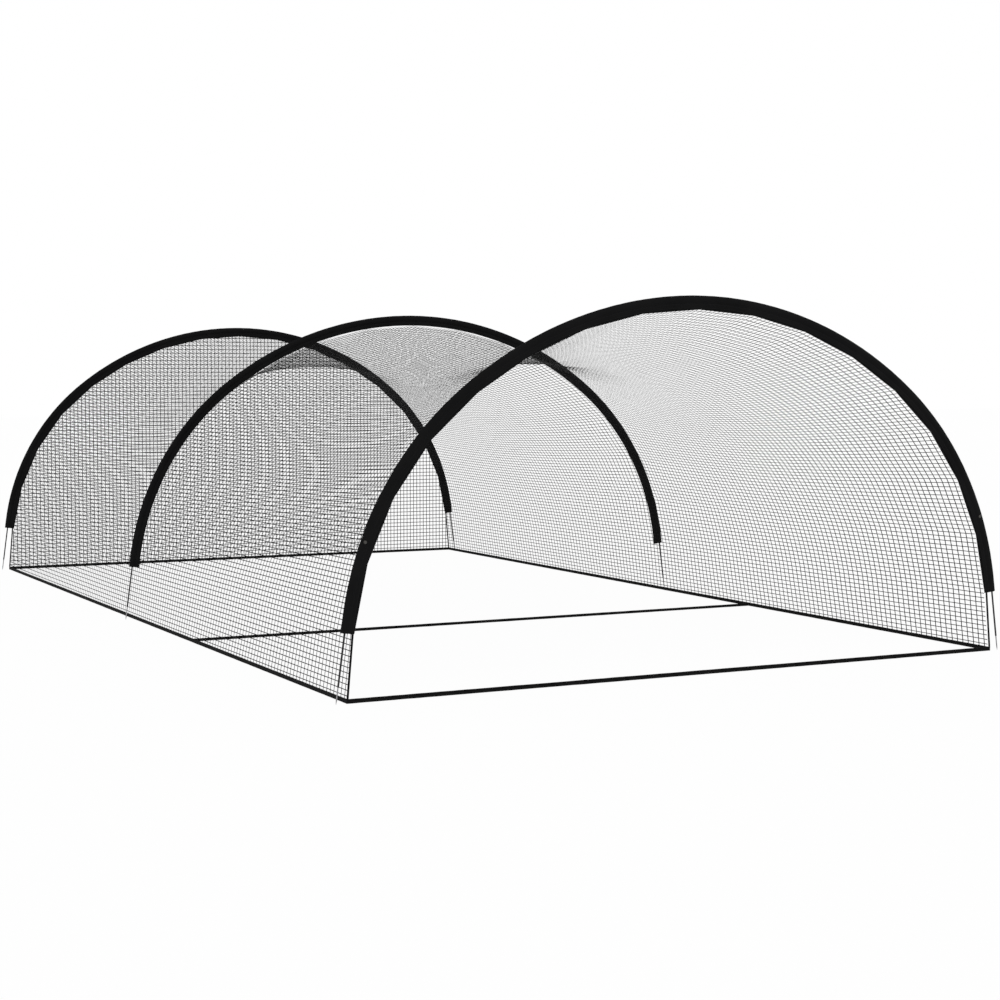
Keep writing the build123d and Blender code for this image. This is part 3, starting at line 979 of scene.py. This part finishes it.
sillLow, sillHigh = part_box("front_sill_strap")
rearLow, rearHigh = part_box("rear_ground_hem")
rightLow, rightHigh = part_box("right_ground_hem")
strapLow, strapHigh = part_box("cross_strap")
sillY, rearHemY = (sillLow.y + sillHigh.y) / 2, (rearLow.y + rearHigh.y) / 2
hemX = (rightLow.x + rightHigh.x) / 2
for node, start, end, width, height in (
    ("right_ground_hem", (hemX, rightLow.y), (hemX, rightHigh.y), "width", "height"),
    ("left_ground_hem", (-hemX, rightLow.y), (-hemX, rightHigh.y), "width", "height"),
    ("front_sill_strap", (sillLow.x, sillY), (sillHigh.x, sillY), "sillWidth", "height"),
    ("rear_ground_hem", (rearLow.x, rearHemY), (rearHigh.x, rearHemY), "sillWidth", "height"),
    ("cross_strap", (strapLow.x, hem["strapY"]), (strapHigh.x, hem["strapY"]), "width", "strapHeight"),
):
    piece = makeHem(node + "_roll", (*start, 0), (*end, 0), hem[width], hem[height])
    finishPiece(piece, hemCloth, "hem_webbing", node)
print("ground hems made")

# rolled edges of the net below the sleeves
edgeHem = {
    "diameter": 0.014,
    "slim": 0.96,           # room for the wrinkles
    "corners": 14,
    "steps": 9,
    "waveSize": 0.03,
    "wave": 0.0009,
    "belowSleeve": 0.0003,
    "aboveHem": 0.0006,
    "stitchRow": 0.006,
    "smoothUnder": 60,      # degrees
}
for row in ("front", "rear"):
    for side, sign in (("right", 1), ("left", -1)):
        node = f"{row}_{side}_edge_hem"
        low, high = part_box(node)
        y = (low.y + high.y) / 2
        topX, topZ = archPoint(arch["mouth"] - edgeHem["belowSleeve"],
                               arch["sleeveInner"] - edgeHem["diameter"] / 2)
        foot = Vector((sign * netting["groundX"], y, hem["height"] + edgeHem["aboveHem"]))
        top = Vector((sign * topX, y, topZ))
        run = top - foot
        bpy.ops.object.select_all(action="DESELECT")
        bpy.ops.mesh.primitive_circle_add(
            vertices=edgeHem["corners"], radius=edgeHem["diameter"] / 2 * edgeHem["slim"],
            fill_type="NGON", location=foot, rotation=run.to_track_quat("Z", "Y").to_euler())
        piece = bpy.context.object
        piece.name = piece.data.name = node + "_roll"
        bpy.ops.object.transform_apply(location=True, rotation=True, scale=True)
        bpy.ops.object.mode_set(mode="EDIT")
        bpy.ops.mesh.select_all(action="SELECT")
        extrudeSteps(run / edgeHem["steps"], edgeHem["steps"])
        bpy.ops.mesh.select_all(action="SELECT")
        bpy.ops.mesh.subdivide(number_cuts=1)
        turnOutwards()
        addWrinkles(piece, edgeHem["waveSize"], edgeHem["wave"])
        applyAll(piece)
        smoothUnder(edgeHem["smoothUnder"])
        pieceUv(piece, "cloth", lambda co: (co[:, 2], co[:, 1] - y + edgeHem["stitchRow"]))
        finishPiece(piece, edgeCloth, "edge_hem", node)
print("edge hems made")

# press studs: a domed cap with a turned rim, spun round its own axis
stud = {
    # out from the axis and up from the sleeve, in mm
    "profile": ((0.0, 3.0), (3.0, 2.9), (6.0, 2.5), (7.6, 1.9), (8.3, 1.7), (8.8, 2.1), (9.6, 2.5),
                (10.4, 2.3), (10.9, 1.5), (11.0, 0.6), (10.6, 0.0), (0.0, 0.0)),
    "radius": 0.011,
    "steps": 40,
    "sameSpot": 1e-5,
    "smoothUnder": 35,      # degrees
}
studParts = []
studLow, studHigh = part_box("front_sleeve_studs")
studX = studHigh.x - stud["radius"]
studZ = (studLow.z + studHigh.z) / 2
for sign in (1, -1):
    centre = Vector((sign * studX, studHigh.y, studZ))
    points = [centre + Vector((r / 1000, -t / 1000, 0)) for r, t in stud["profile"]]
    piece = drawOutline("stud", points, closed=False)
    bpy.ops.mesh.select_all(action="SELECT")
    bpy.ops.mesh.spin(steps=stud["steps"], angle=2 * pi, center=centre, axis=(0, 1, 0))
    mergeDoubles(stud["sameSpot"])
    turnOutwards()
    smoothUnder(stud["smoothUnder"])
    studParts.append(piece)
studs = joinPieces(studParts, "press_studs")
finishPiece(studs, studPaint, "stud_metal", "front_sleeve_studs")
print("press studs made")

# the poles, spikes and ferrules keep their shapes and get their finishes
rigidFinishes = {"_leg_pole": fibreRod, "_pole_section": fibreRod, "_ground_spike": zincSteel,
                 "_ferrules": drawnSteel}
for name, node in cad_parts.items():
    for part, finish in rigidFinishes.items():
        if part in name:
            node.data.materials.clear()
            node.data.materials.append(finish)
            node.data.shade_smooth()

# floor and light
stage = {
    "floorSize": 160.0,
    "floorDrop": 0.001,     # below the object
    "floorColor": 0.86,
    "mottle": 0.01,
    "showThrough": 0.96,    # how much of the white is the floor's own, and not its light and shadow
    "world": 0.55,
    "lamps": {              # strength, size in degrees, turn in degrees
        "key": (1.2, 40, (38, -14, -24)),
        "fill": (0.5, 60, (52, 10, 120)),
    },
}


def seenDirectly(nodes):
    # 1 for the camera, and for what shows in gloss and through glass
    light = nodes.add("ShaderNodeLightPath")
    return nodes.math("MAXIMUM", light.outputs["Is Camera Ray"], nodes.math(
        "MAXIMUM", light.outputs["Is Glossy Ray"], light.outputs["Is Transmission Ray"]))


bpy.ops.object.select_all(action="DESELECT")
bpy.ops.mesh.primitive_plane_add(size=stage["floorSize"], location=(0, 0, -stage["floorDrop"]))
floor = bpy.context.object
floor.name = "floor"
paper = bpy.data.materials.new("paper")
paper.use_nodes = True
nodes = Nodes(paper.node_tree)
paper.node_tree.nodes.remove(paper.node_tree.nodes["Principled BSDF"])
output = paper.node_tree.nodes["Material Output"]
matte = nodes.add("ShaderNodeBsdfDiffuse")
place = nodes.add("ShaderNodeTexCoord").outputs["Object"]
mottle = nodes.remap(nodes.noise(place, 1.3, 3.0), 0.3, 0.7)
greys = [(grey, grey, grey, 1) for grey in (stage["floorColor"], stage["floorColor"] + stage["mottle"])]
nodes.join(nodes.mixColor(mottle, *greys), matte.inputs["Color"])
white = nodes.add("ShaderNodeEmission")
mix = nodes.add("ShaderNodeMixShader")
nodes.join(nodes.math("MULTIPLY", seenDirectly(nodes), stage["showThrough"]), mix.inputs[0])
nodes.join(matte.outputs[0], mix.inputs[1])
nodes.join(white.outputs[0], mix.inputs[2])
nodes.join(mix.outputs[0], output.inputs["Surface"])
floor.data.materials.append(paper)
floor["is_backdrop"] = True

world = bpy.data.worlds.new("studio")
bpy.context.scene.world = world
world.use_nodes = True
nodes = Nodes(world.node_tree)
background = world.node_tree.nodes["Background"]
background.inputs["Color"].default_value = (1, 1, 1, 1)
nodes.join(nodes.remap(seenDirectly(nodes), 0.0, 1.0, stage["world"], 1.0),
           background.inputs["Strength"])

for name, (strength, size, turn) in stage["lamps"].items():
    lamp = bpy.data.lights.new(name, "SUN")
    lamp.energy = strength
    lamp.angle = radians(size)
    lampObject = bpy.data.objects.new(name, lamp)
    lampObject.rotation_euler = [radians(angle) for angle in turn]
    bpy.context.scene.collection.objects.link(lampObject)
bpy.context.scene.view_settings.view_transform = "Standard"
print("stage and light made")

low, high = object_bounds()
print("visual box", [round(v, 4) for v in low], [round(v, 4) for v in high])
